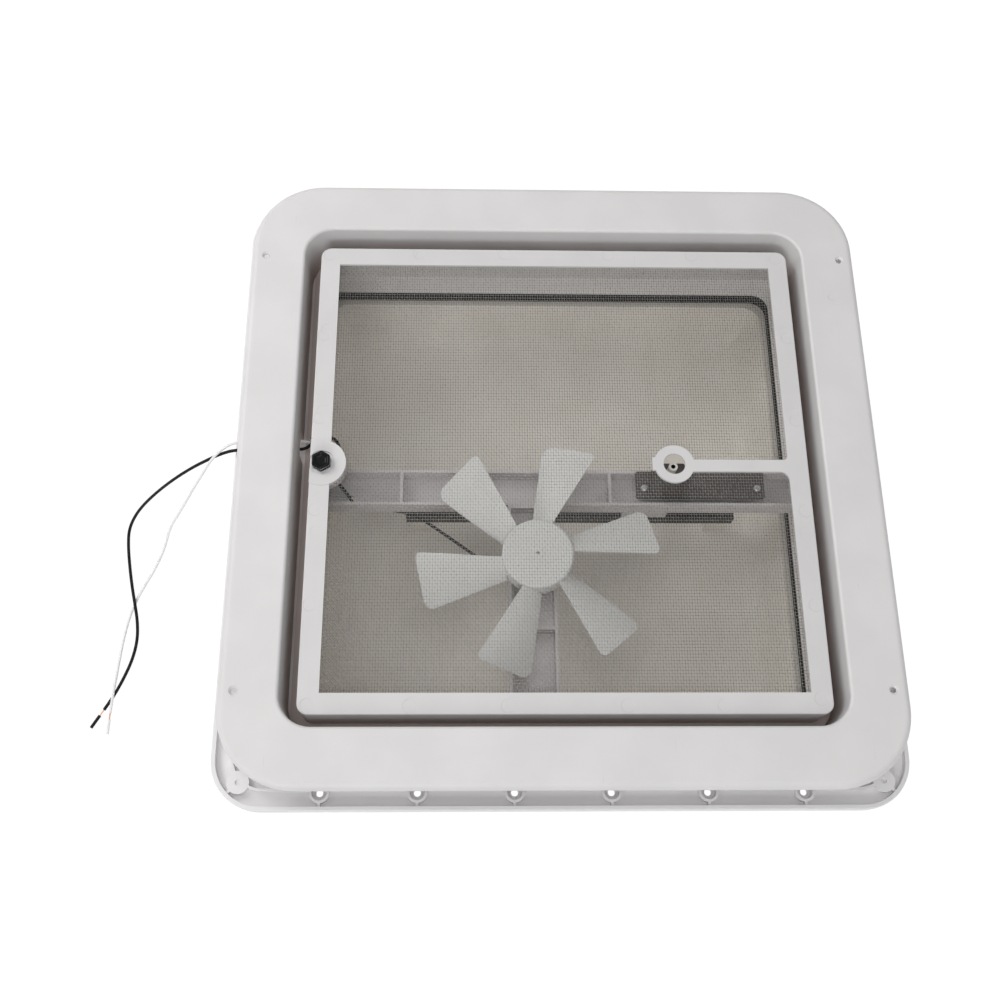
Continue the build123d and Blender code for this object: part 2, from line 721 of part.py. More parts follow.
with BuildPart() as track_rivets:
    with BuildSketch(plane_at(track_foot_level - rivet_depth)):
        with Locations(*[(place, rivet_y) for place in post_places]):
            Circle(rivet_diameter / 2)
    extrude(amount=rivet_depth + track_wall)
    with BuildSketch(plane_at(track_foot_level + track_wall)):
        with Locations(*[(place, rivet_y) for place in post_places]):
            Circle(rivet_head_diameter / 2)
    extrude(amount=rivet_head_thickness)
track_rivets.part.label = "track_rivets"
export_step(track_rivets.part, "parts/track_rivets.step")

# Crossbar: an open channel across the neck, with a stem and a seat for the motor.
stem_end = -neck_half
plate_screws_at = [(place, plate_screw_y) for place in plate_screw_places]
bar_near = bar_y - bar_width / 2
seat_top = motor_seat_level + seat_lip
seat_radius_out = seat_radius + seat_wall
with BuildPart() as crossbar:
    with BuildSketch(plane_at(bar_floor_level)):
        with Locations((0, bar_y)):
            Rectangle(neck_width, bar_width)
        with Locations((stem_x, (stem_end + bar_y) / 2)):
            Rectangle(stem_width, bar_y - stem_end)
    extrude(amount=bar_height)
    with BuildSketch(plane_at(bar_floor_top)):
        with Locations((0, bar_y)):
            Rectangle(neck_width - 2 * bar_foot_thickness, bar_width - 2 * bar_wall)
        with Locations((stem_x, (stem_end + bar_near) / 2 + bar_foot_thickness / 2 - bar_wall / 2)):
            Rectangle(stem_width - 2 * bar_wall, bar_near - stem_end - bar_foot_thickness - bar_wall)
    extrude(amount=bar_height, mode=Mode.SUBTRACT)
    with BuildSketch(plane_at(bar_floor_level)):
        with Locations(*[(place, bar_y) for place in bar_rib_places]):
            Rectangle(bar_wall, bar_width)
        with Locations((stem_x, stem_rib_y)):
            Rectangle(stem_width, bar_wall)
        foot_x = neck_half - bar_foot_thickness / 2
        with Locations((-foot_x, bar_y), (foot_x, bar_y)):
            Rectangle(bar_foot_thickness, bar_width)
    extrude(amount=bar_height)
    with BuildSketch(plane_at(bar_floor_level)):
        with Locations((-foot_x, bar_y), (foot_x, bar_y)):
            Rectangle(bar_foot_thickness, bar_width)
    extrude(amount=bar_foot_height)
    with BuildSketch(plane_at(seat_top, motor_x, motor_y)):
        Circle(seat_radius_out)
    extrude(amount=-(seat_depth + seat_lip))
    with BuildSketch(plane_at(motor_seat_level, motor_x, motor_y)):
        Circle(seat_radius)
    extrude(amount=-seat_depth, mode=Mode.SUBTRACT)
    with BuildSketch(plane_at(motor_seat_level, motor_x, motor_y)):
        Circle(seat_bore / 2)
        with GridLocations(motor_screw_spacing, 0, 2, 1):
            Circle(motor_screw_diameter / 2)
    extrude(amount=seat_lip, mode=Mode.SUBTRACT)
    with BuildSketch(plane_at(bar_floor_level)):
        with Locations((wire_hole_x, switch_y + wire_hole_shift)):
            Circle(wire_hole_diameter / 2)
        with Locations((crank_x, crank_y)):
            Circle(spindle_diameter / 2 + fit_gap)
    extrude(amount=bar_floor, mode=Mode.SUBTRACT)
    with BuildSketch(plane_at(bar_floor_level)):
        with Locations(*plate_screws_at):
            Circle(plate_post_diameter / 2)
    extrude(amount=bar_height)
    with BuildSketch(plane_at(bar_floor_level)):
        with Locations(*plate_screws_at):
            Circle(plate_screw_diameter / 2)
    extrude(amount=bar_height, mode=Mode.SUBTRACT)
    with BuildSketch(plane_at(bar_floor_top)):
        with Locations((bar_pip_x, bar_y)):
            Circle(bar_pip_diameter / 2)
    extrude(amount=bar_pip_height)
    with BuildSketch(Plane.YZ.offset(-neck_half)):
        with Locations(*[(bar_y + y, screw_level) for y in pitched(2, foot_screw_spacing)]):
            Circle(foot_screw_diameter / 2)
    extrude(amount=neck_width, mode=Mode.SUBTRACT)
crossbar.part.label = "crossbar"
export_step(crossbar.part, "parts/crossbar.step")

with BuildPart() as crossbar_screws:
    for side in (-1, 1):
        foot_face = (side * (neck_half - bar_foot_thickness), bar_y, screw_level)
        head_face = Plane(origin=foot_face, x_dir=(0, 1, 0), z_dir=(-side, 0, 0))
        with BuildSketch(head_face):
            with GridLocations(foot_screw_spacing, 0, 2, 1):
                Circle(foot_screw_head_diameter / 2)
        extrude(amount=foot_screw_head)
        with BuildSketch(head_face):
            with GridLocations(foot_screw_spacing, 0, 2, 1):
                Circle(foot_screw_diameter / 2)
        extrude(amount=-(bar_foot_thickness + neck_wall))
crossbar_screws.part.label = "crossbar_screws"
export_step(crossbar_screws.part, "parts/crossbar_screws.step")

# Fan motor: steel can, two curved magnets, rear cap, terminals and the two screws at its face.
motor_radius = motor_diameter / 2
cap_top = bottom_level + cap_thickness
with BuildPart() as motor_can:
    with BuildSketch(plane_at(bottom_level, motor_x, motor_y)):
        Circle(motor_radius)
    extrude(amount=motor_length)
    with BuildSketch(plane_at(bottom_level, motor_x, motor_y)):
        Circle(motor_radius - motor_wall)
    extrude(amount=motor_length - motor_wall, mode=Mode.SUBTRACT)
    with BuildSketch(plane_at(motor_seat_level - motor_wall, motor_x, motor_y)):
        Circle(nose_diameter / 2)
    extrude(amount=motor_wall + nose_length)
    with BuildSketch(plane_at(motor_seat_level - motor_wall, motor_x, motor_y)):
        Circle(motor_shaft_diameter / 2 + running_gap)
        with GridLocations(motor_screw_spacing, 0, 2, 1):
            Circle(motor_screw_diameter / 2)
    extrude(amount=motor_wall + nose_length, mode=Mode.SUBTRACT)
motor_can.part.label = "motor_can"
export_step(motor_can.part, "parts/motor_can.step")

with BuildPart() as motor_magnets:
    with BuildSketch(plane_at(magnet_level, motor_x, motor_y)):
        Circle(motor_radius - motor_wall)
        Circle(motor_radius - motor_wall - magnet_thickness, mode=Mode.SUBTRACT)
        Rectangle(magnet_break, motor_diameter, mode=Mode.SUBTRACT)
    extrude(amount=magnet_length)
motor_magnets.part.label = "motor_magnets"
export_step(motor_magnets.part, "parts/motor_magnets.step")

with BuildPart() as motor_cap:
    with BuildSketch(plane_at(bottom_level, motor_x, motor_y)):
        Circle(motor_radius - motor_wall)
    extrude(amount=cap_thickness)
    with BuildSketch(plane_at(cap_top, motor_x, motor_y)):
        Circle(nose_diameter / 2)
        Circle(motor_shaft_diameter / 2 + running_gap, mode=Mode.SUBTRACT)
    extrude(amount=bearing_length)
    with BuildSketch(plane_at(bottom_level, motor_x, motor_y)):
        with GridLocations(terminal_spacing, 0, 2, 1):
            Rectangle(terminal_width, terminal_thickness)
    extrude(amount=cap_thickness, mode=Mode.SUBTRACT)
motor_cap.part.label = "motor_cap"
export_step(motor_cap.part, "parts/motor_cap.step")

with BuildPart() as motor_terminals:
    with BuildSketch(plane_at(cap_top, motor_x, motor_y)):
        with GridLocations(terminal_spacing, 0, 2, 1):
            Rectangle(terminal_width, terminal_thickness)
    extrude(amount=-(cap_thickness + terminal_length))
motor_terminals.part.label = "motor_terminals"
export_step(motor_terminals.part, "parts/motor_terminals.step")

with BuildPart() as motor_screws:
    with BuildSketch(plane_at(seat_top, motor_x, motor_y)):
        with GridLocations(motor_screw_spacing, 0, 2, 1):
            Circle(motor_screw_diameter / 2)
    extrude(amount=-(seat_lip + motor_wall))
    with BuildSketch(plane_at(seat_top, motor_x, motor_y)):
        with GridLocations(motor_screw_spacing, 0, 2, 1):
            Circle(motor_screw_head_diameter / 2)
    extrude(amount=motor_screw_head)
motor_screws.part.label = "motor_screws"
export_step(motor_screws.part, "parts/motor_screws.step")

# Rotor: shaft, armature and the moulded fan.
with BuildPart() as motor_shaft:
    with BuildSketch(plane_at(shaft_foot_level + fit_gap, motor_x, motor_y)):
        Circle(motor_shaft_diameter / 2)
    extrude(amount=shaft_top_level - shaft_foot_level - fit_gap)
motor_shaft.part.label = "motor_shaft"
export_step(motor_shaft.part, "parts/motor_shaft.step")

with BuildPart() as armature:
    with BuildSketch(plane_at(armature_level, motor_x, motor_y)):
        Circle(armature_diameter / 2)
        with PolarLocations(armature_diameter / 2, armature_slots):
            Rectangle(armature_slot_depth, armature_slot_width, mode=Mode.SUBTRACT)
        Circle(motor_shaft_diameter / 2, mode=Mode.SUBTRACT)
    extrude(amount=armature_length)
armature.part.label = "armature"
export_step(armature.part, "parts/armature.step")


def blade_section(along, middle, half_chord, pitch):
    """A curved blade section, square to the blade's length."""
    pitch = radians(pitch)
    lift = blade_camber
    edge_y, edge_z = half_chord * cos(pitch), half_chord * sin(pitch)
    normal_y, normal_z = sin(pitch), cos(pitch)
    near, far = (middle - edge_y, edge_z), (middle + edge_y, -edge_z)
    shift_y, shift_z = blade_thickness * normal_y, blade_thickness * normal_z
    with BuildSketch(Plane.YZ.offset(along)) as section:
        with BuildLine():
            ThreePointArc(near, (middle + lift * normal_y, lift * normal_z), far)
            Line(far, (far[0] - shift_y, far[1] - shift_z))
            ThreePointArc(
                (far[0] - shift_y, far[1] - shift_z),
                (middle + lift * normal_y - shift_y, lift * normal_z - shift_z),
                (near[0] - shift_y, near[1] - shift_z),
            )
            Line((near[0] - shift_y, near[1] - shift_z), near)
        make_face()
    return section.sketch


# One blade along +X; its outline is cut from a longer twisted strip.
hub_radius = hub_diameter / 2
blade_start = hub_radius - hub_wall / 2
root_section = blade_section(blade_start, blade_root_shift, blade_root_half_chord, blade_root_pitch)
tip_section = blade_section(blade_tip_radius + blade_overhang, 0, blade_tip_half_chord, blade_tip_pitch)
with BuildPart() as blade_strip:
    loft(sections=[root_section, tip_section])
with BuildPart() as blade_outline:
    with BuildSketch(Plane.XY.offset(-blade_root_half_chord)):
        with BuildLine():
            outline = FilletPolyline(
                (blade_start, -blade_root_near), (blade_near_corner_x, -blade_near_corner_y),
                (blade_far_corner_x, blade_far_corner_y), (blade_start, blade_root_far),
                radius=[blade_near_round, blade_far_round],
            )
            Line(outline @ 1, outline @ 0)
        make_face()
    extrude(amount=2 * blade_root_half_chord)
blade = blade_strip.part & blade_outline.part

with BuildPart() as fan:
    with BuildSketch(plane_at(hub_top_level - hub_height, motor_x, motor_y)):
        Circle(hub_radius)
    extrude(amount=hub_height)
    fillet(fan.edges().group_by(Axis.Z)[-1], hub_round)
    with BuildSketch(plane_at(hub_top_level - hub_height, motor_x, motor_y)):
        Circle(hub_radius - hub_wall)
    extrude(amount=hub_height - hub_wall, mode=Mode.SUBTRACT)
    with BuildSketch(plane_at(hub_top_level + hub_boss_height, motor_x, motor_y)):
        Circle(hub_boss_diameter / 2)
    extrude(amount=-(hub_height + hub_boss_height - hub_boss_rise))
    for turn in range(blade_count):
        angle = blade_angle + turn * 360 / blade_count
        add(blade.moved(Location((motor_x, motor_y, blade_level), (0, 0, angle))))
    with BuildSketch(plane_at(hub_top_level - hub_height, motor_x, motor_y)):
        Circle(motor_shaft_diameter / 2)
    extrude(amount=shaft_top_level - hub_top_level + hub_height, mode=Mode.SUBTRACT)
    with BuildSketch(plane_at(shaft_top_level, motor_x, motor_y)):
        Circle(hub_dimple_diameter / 2)
    extrude(amount=hub_top_level + hub_boss_height - shaft_top_level, mode=Mode.SUBTRACT)
fan.part.label = "fan"
export_step(fan.part, "parts/fan.step")

# Crank spindle with its worm. The thread is a straight-sided rack along its middle plane.
thread_foot = pivot_level - worm_pitch
worm_root = worm_pitch_radius - tooth_addendum - worm_root_gap * 2
worm_tip = worm_pitch_radius + tooth_addendum
thread_half_root = tooth_width_share * worm_pitch / 2
thread_half_tip = tooth_tip_width / 2
with BuildPart() as crank_spindle:
    with BuildSketch(plane_at(housing_foot_level, crank_x, crank_y)):
        Circle(worm_foot_diameter / 2)
    extrude(amount=housing_foot + fit_gap)
    with BuildSketch(plane_at(housing_foot_level + housing_foot + fit_gap, crank_x, crank_y)):
        Circle(worm_root)
    extrude(amount=bar_floor_level - housing_foot_level - housing_foot - fit_gap - housing_wall - fit_gap)
    with BuildSketch(plane_at(bar_floor_level - housing_wall - fit_gap, crank_x, crank_y)):
        Circle(spindle_diameter / 2)
    extrude(amount=spindle_top_level - bar_floor_level + housing_wall + fit_gap)
    with BuildLine() as thread_path:
        Helix(
            pitch=worm_pitch, height=worm_turns * worm_pitch, radius=worm_root,
            center=(crank_x, crank_y, thread_foot), lefthand=True,
        )
    thread_start = Plane(origin=thread_path.line @ 0, x_dir=(1, 0, 0), z_dir=thread_path.line % 0)
    with BuildSketch(thread_start):
        with BuildLine():
            Polyline(
                (-worm_root_gap, -thread_half_root), (worm_tip - worm_root, -thread_half_tip),
                (worm_tip - worm_root, thread_half_tip), (-worm_root_gap, thread_half_root),
                close=True,
            )
        make_face()
    sweep(path=thread_path.line, is_frenet=True)
    with BuildSketch(plane_at(spindle_top_level, crank_x, crank_y)):
        Circle(spindle_socket_diameter / 2)
    extrude(amount=-spindle_socket_depth, mode=Mode.SUBTRACT)
crank_spindle.part.label = "crank_spindle"
export_step(crank_spindle.part, "parts/crank_spindle.step")

# Lift arm: a flat steel bar with a toothed sector at its pivot. Teeth sit between the worm's threads.
arm_face = Plane(
    origin=(pivot_x, arm_face_y, pivot_level), x_dir=(1, 0, 0), z_dir=(0, -1, 0),
)
tooth_pitch_angle = 360 / wheel_teeth
tooth_half_pitch = (worm_pitch / 2 - tooth_backlash) / 2
tooth_count = int(toothed_arc / tooth_pitch_angle) + 1
tooth_foot = pitch_radius - tooth_dedendum - overrun
with BuildPart() as lift_arm:
    with BuildSketch(arm_face):
        Circle(pitch_radius - tooth_dedendum)
        for index in range(tooth_count):
            angle = -index * tooth_pitch_angle
            with Locations(Location((0, 0, 0), (0, 0, angle))):
                Polygon(
                    (tooth_foot, -tooth_half_pitch - tooth_flare),
                    (pitch_radius + tooth_addendum, -tooth_tip_width / 2),
                    (pitch_radius + tooth_addendum, tooth_tip_width / 2),
                    (tooth_foot, tooth_half_pitch + tooth_flare),
                    align=None,
                )
        with Locations(Location((0, 0, 0), (0, 0, arm_slope))):
            with Locations((-arm_length / 2, 0)):
                Rectangle(arm_length, arm_width)
            with Locations((-arm_length, 0)):
                Circle(arm_width / 2)
            with Locations((-arm_length, 0)):
                Circle(roller_pin_diameter / 2, mode=Mode.SUBTRACT)
        Circle(pivot_pin_diameter / 2 + running_gap, mode=Mode.SUBTRACT)
    extrude(amount=arm_thickness)
lift_arm.part.label = "lift_arm"
export_step(lift_arm.part, "parts/lift_arm.step")

# Pivot pin, bushes, roller and its pin.
cheek_inside = housing_inside / 2
with BuildPart() as pivot_pin:
    with BuildSketch(Plane.XZ.offset(-(crank_y + cheek_inside + housing_wall))):
        with Locations((pivot_x, pivot_level)):
            Circle(pivot_pin_diameter / 2)
    extrude(amount=housing_inside + 2 * housing_wall)
pivot_pin.part.label = "pivot_pin"
export_step(pivot_pin.part, "parts/pivot_pin.step")

with BuildPart() as pivot_bushes:
    for face_y in (crank_y + cheek_inside, arm_back_y - fit_gap):
        with BuildSketch(Plane.XZ.offset(-face_y)):
            with Locations((pivot_x, pivot_level)):
                Circle(bush_diameter / 2)
                Circle(pivot_pin_diameter / 2, mode=Mode.SUBTRACT)
        extrude(amount=cheek_inside - arm_thickness / 2 - fit_gap)
pivot_bushes.part.label = "pivot_bushes"
export_step(pivot_bushes.part, "parts/pivot_bushes.step")

with BuildPart() as roller_pin:
    with BuildSketch(Plane.XZ.offset(-arm_face_y)):
        with Locations((roller_x, hinge_level)):
            Circle(roller_pin_diameter / 2)
    extrude(amount=arm_face_y - track_web_y - fit_gap)
roller_pin.part.label = "roller_pin"
export_step(roller_pin.part, "parts/roller_pin.step")

roller_middle = (track_web_y + arm_back_y) / 2
with BuildPart() as arm_roller:
    with BuildSketch(Plane.XZ.offset(-(roller_middle + roller_length / 2))):
        with Locations((roller_x, hinge_level)):
            Circle(roller_diameter / 2)
            Circle(roller_pin_diameter / 2 + running_gap, mode=Mode.SUBTRACT)
    extrude(amount=roller_length)
arm_roller.part.label = "arm_roller"
export_step(arm_roller.part, "parts/arm_roller.step")

# Crank housing under the crossbar: a U of two cheeks with a foot under the worm.
with BuildPart() as crank_housing:
    housing_middle = (housing_left + housing_right) / 2
    with BuildSketch(plane_at(bar_floor_level)):
        with Locations((housing_middle, crank_y)):
            Rectangle(housing_right - housing_left, housing_inside + 2 * housing_wall)
    extrude(amount=housing_foot_level - bar_floor_level)
    with BuildSketch(plane_at(bar_floor_level - housing_wall)):
        with Locations((housing_middle, crank_y)):
            Rectangle(housing_right - housing_left, housing_inside)
    extrude(amount=housing_foot_level + housing_foot - bar_floor_level + housing_wall, mode=Mode.SUBTRACT)
    with BuildSketch(plane_at(housing_foot_level)):
        with Locations(((housing_left + housing_foot_left) / 2, crank_y)):
            Rectangle(housing_foot_left - housing_left, housing_inside)
    extrude(amount=housing_foot, mode=Mode.SUBTRACT)
    with BuildSketch(plane_at(housing_foot_level)):
        with Locations((crank_x, crank_y)):
            Circle(worm_foot_diameter / 2 + running_gap)
    extrude(amount=housing_foot, mode=Mode.SUBTRACT)
    with BuildSketch(plane_at(bar_floor_level)):
        with Locations((crank_x, crank_y)):
            Circle(spindle_diameter / 2 + running_gap)
        with Locations(plate_screws_at[0]):
            Circle(plate_screw_diameter / 2)
    extrude(amount=-housing_wall, mode=Mode.SUBTRACT)
    with BuildSketch(Plane.XZ.offset(-(crank_y + cheek_inside + housing_wall))):
        with Locations((pivot_x, pivot_level)):
            Circle(pivot_pin_diameter / 2)
    extrude(amount=housing_inside + 2 * housing_wall, mode=Mode.SUBTRACT)
crank_housing.part.label = "crank_housing"
export_step(crank_housing.part, "parts/crank_housing.step")

# Dark plate on the crossbar's posts, with a box that carries the upper end of the spindle.
plate_middle = ((plate_left + plate_right) / 2, (plate_near + plate_far) / 2)
box_middle = ((bearing_box_left + bearing_box_right) / 2, (bearing_box_near + bearing_box_far) / 2)
box_length = bearing_box_right - bearing_box_left
box_width = bearing_box_far - bearing_box_near
with BuildPart() as crank_plate:
    with BuildSketch(plane_at(bar_top)):
        with Locations(plate_middle):
            RectangleRounded(plate_right - plate_left, plate_far - plate_near, plate_corner)
        with Locations(*plate_screws_at):
            Circle(plate_screw_diameter / 2, mode=Mode.SUBTRACT)
    extrude(amount=plate_thickness)
    with BuildSketch(plane_at(bar_top)):
        with Locations(box_middle):
            RectangleRounded(box_length, box_width, plate_corner)
    extrude(amount=plate_thickness + bearing_box_height)
    with BuildSketch(plane_at(bar_top)):
        with Locations(box_middle):
            Rectangle(box_length - 2 * bearing_box_wall, box_width - 2 * bearing_box_wall)
    extrude(amount=plate_thickness + bearing_box_height - bearing_box_wall, mode=Mode.SUBTRACT)
    with BuildSketch(plane_at(bar_top)):
        with Locations((crank_x, crank_y)):
            Circle(spindle_diameter / 2 + fit_gap)
    extrude(amount=plate_thickness + bearing_box_height, mode=Mode.SUBTRACT)
crank_plate.part.label = "crank_plate"
export_step(crank_plate.part, "parts/crank_plate.step")

with BuildPart() as plate_screws:
    with BuildSketch(plane_at(plate_top)):
        with Locations(*plate_screws_at):
            Circle(plate_screw_head_diameter / 2)
    extrude(amount=plate_screw_head)
    fillet(plate_screws.edges().group_by(Axis.Z)[-1], plate_screw_round)
    with BuildSketch(plane_at(plate_top)):
        with Locations(*plate_screws_at):
            Circle(plate_screw_diameter / 2)
    extrude(amount=-(plate_thickness + bar_height + housing_wall))
plate_screws.part.label = "plate_screws"
export_step(plate_screws.part, "parts/plate_screws.step")

# Push-button switch in the screen frame's boss: body, hexagon nut, button and terminals.
switch_floor = switch_shoulder - switch_body_length
stem_bottom = button_under - button_stem_length
with BuildPart() as switch_body:
    with BuildSketch(plane_at(switch_floor, switch_x, switch_y)):
        Circle(switch_body_diameter / 2)
    extrude(amount=switch_body_length)
    with BuildSketch(plane_at(switch_shoulder, switch_x, switch_y)):
        Circle(switch_barrel_diameter / 2)
    extrude(amount=nut_top + switch_barrel_proud - switch_shoulder)
    with BuildSketch(plane_at(nut_top + switch_barrel_proud, switch_x, switch_y)):
        Circle(button_stem_diameter / 2 + running_gap)
    extrude(amount=stem_bottom - button_travel - fit_gap - nut_top - switch_barrel_proud, mode=Mode.SUBTRACT)
    with BuildSketch(plane_at(switch_floor, switch_x, switch_y)):
        with GridLocations(switch_terminal_spacing, 0, 2, 1):
            Rectangle(terminal_width, terminal_thickness)
    extrude(amount=switch_terminal_root, mode=Mode.SUBTRACT)
switch_body.part.label = "switch_body"
export_step(switch_body.part, "parts/switch_body.step")

with BuildPart() as switch_terminals:
    with BuildSketch(plane_at(switch_floor + switch_terminal_root, switch_x, switch_y)):
        with GridLocations(switch_terminal_spacing, 0, 2, 1):
            Rectangle(terminal_width, terminal_thickness)
    extrude(amount=-(switch_terminal_root + terminal_length))
switch_terminals.part.label = "switch_terminals"
export_step(switch_terminals.part, "parts/switch_terminals.step")

with BuildPart() as switch_nut:
    with BuildSketch(plane_at(dish_level, switch_x, switch_y)):
        RegularPolygon(nut_flats / 2, 6, major_radius=False, rotation=30)
        Circle(switch_barrel_diameter / 2, mode=Mode.SUBTRACT)
    extrude(amount=nut_thickness)
switch_nut.part.label = "switch_nut"
export_step(switch_nut.part, "parts/switch_nut.step")

with BuildPart() as switch_button:
    with BuildSketch(plane_at(button_under, switch_x, switch_y)):
        cap = RegularPolygon(button_flats / 2, 6, major_radius=False, rotation=30)
        fillet(cap.vertices(), button_corner)
    extrude(amount=button_height)
    fillet(switch_button.edges().group_by(Axis.Z)[-1], button_round)
    with BuildSketch(plane_at(button_under, switch_x, switch_y)):
        Circle(button_stem_diameter / 2)
    extrude(amount=-button_stem_length)
switch_button.part.label = "switch_button"
export_step(switch_button.part, "parts/switch_button.step")

# Wires held inside, and the two leads that leave under the trim ring and lie on the floor.
for name, route, diameter in (
    ("wire_switch_feed", switch_feed_route, black_wire),
    ("wire_switch_motor", switch_motor_route, black_wire),
    ("wire_motor_return", motor_return_route, white_wire),
    ("lead_black", black_lead_route, black_wire),
    ("lead_white", white_lead_route, white_wire),
):
    wire = tube_along(route, diameter, name)
    wire.label = name
    export_step(wire, f"parts/{name}.step")

# Each lead ends in a bare strand and a loose sleeve of insulation at its tip.
for name, route, diameter in (("black", black_lead_route, black_wire), ("white", white_lead_route, white_wire)):
    tip = Vector(*route[-1])
    heading = (tip - Vector(*route[-2])).normalized()
    with BuildPart() as strand:
        with BuildSketch(Plane(origin=tip, z_dir=heading)):
            Circle(strand_diameter / 2)
        extrude(amount=bare_length)
    strand.part.label = f"strand_{name}"
    export_step(strand.part, f"parts/strand_{name}.step")
    with BuildPart() as sleeve:
        with BuildSketch(Plane(origin=tip + heading * bare_length, z_dir=heading)):
            Circle(diameter / 2)
        extrude(amount=slug_length)
    sleeve.part.label = f"sleeve_{name}"
    export_step(sleeve.part, f"parts/sleeve_{name}.step")
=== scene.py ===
import math

import bmesh
import bpy
from mathutils import Matrix, Vector


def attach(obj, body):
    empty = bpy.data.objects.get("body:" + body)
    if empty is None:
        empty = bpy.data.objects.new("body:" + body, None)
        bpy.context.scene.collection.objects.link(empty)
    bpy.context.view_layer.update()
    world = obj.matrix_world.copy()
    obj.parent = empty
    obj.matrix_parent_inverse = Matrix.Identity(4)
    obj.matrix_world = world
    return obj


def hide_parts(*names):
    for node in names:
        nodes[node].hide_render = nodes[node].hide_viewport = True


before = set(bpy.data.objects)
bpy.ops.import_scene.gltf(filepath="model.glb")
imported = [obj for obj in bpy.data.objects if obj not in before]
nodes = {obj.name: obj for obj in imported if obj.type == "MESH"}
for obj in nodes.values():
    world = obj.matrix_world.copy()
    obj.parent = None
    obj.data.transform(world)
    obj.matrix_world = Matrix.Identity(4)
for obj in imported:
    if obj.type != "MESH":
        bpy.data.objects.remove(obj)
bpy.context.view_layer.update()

# Sizes and places are in millimetres unless a comment says metres.
MM = 0.001


# Camera

sensor_width = 36.0
focal_length = 41.36
camera_place = (-58.49, -288.54, 804.75)
look_right = (0.99964, -0.00603, 0.02609)
look_up = (-0.0036, 0.93514, 0.35422)
look_back = (-0.02654, -0.35418, 0.93478)

camera_data = bpy.data.cameras.new("camera")
camera_data.sensor_width = sensor_width
camera_data.lens = focal_length
camera_data.clip_start = 50.0 * MM
camera_data.clip_end = 60000.0 * MM
camera = bpy.data.objects.new("camera", camera_data)
bpy.context.scene.collection.objects.link(camera)
camera.rotation_euler = Matrix((look_right, look_up, look_back)).transposed().to_euler()
camera.location = Vector(camera_place) * MM
bpy.context.scene.camera = camera


# Shader arithmetic

class Signal:
    """What one socket of a finish gives. Arithmetic on numbers adds Math nodes."""

    def __init__(self, finish, socket):
        self.finish = finish
        self.socket = socket

    def calculate(self, operation, *values):
        return self.finish.node(
            "ShaderNodeMath", {"operation": operation}, dict(enumerate(values))
        )

    def __add__(self, other):
        return self.calculate("ADD", self, other)

    def __radd__(self, other):
        return self.calculate("ADD", other, self)

    def __sub__(self, other):
        return self.calculate("SUBTRACT", self, other)

    def __rsub__(self, other):
        return self.calculate("SUBTRACT", other, self)

    def __mul__(self, other):
        return self.calculate("MULTIPLY", self, other)

    def __rmul__(self, other):
        return self.calculate("MULTIPLY", other, self)

    def sine(self):
        return self.calculate("SINE", self)

    def absolute(self):
        return self.calculate("ABSOLUTE", self)

    def larger(self, other):
        return self.calculate("MAXIMUM", self, other)

    def smaller(self, other):
        return self.calculate("MINIMUM", self, other)

    def between(self, low, high):
        """0 below low, 1 above high and a smooth step between them."""
        return self.finish.node(
            "ShaderNodeMapRange",
            {"interpolation_type": "SMOOTHSTEP"},
            {"Value": self, "From Min": low, "From Max": high},
        )


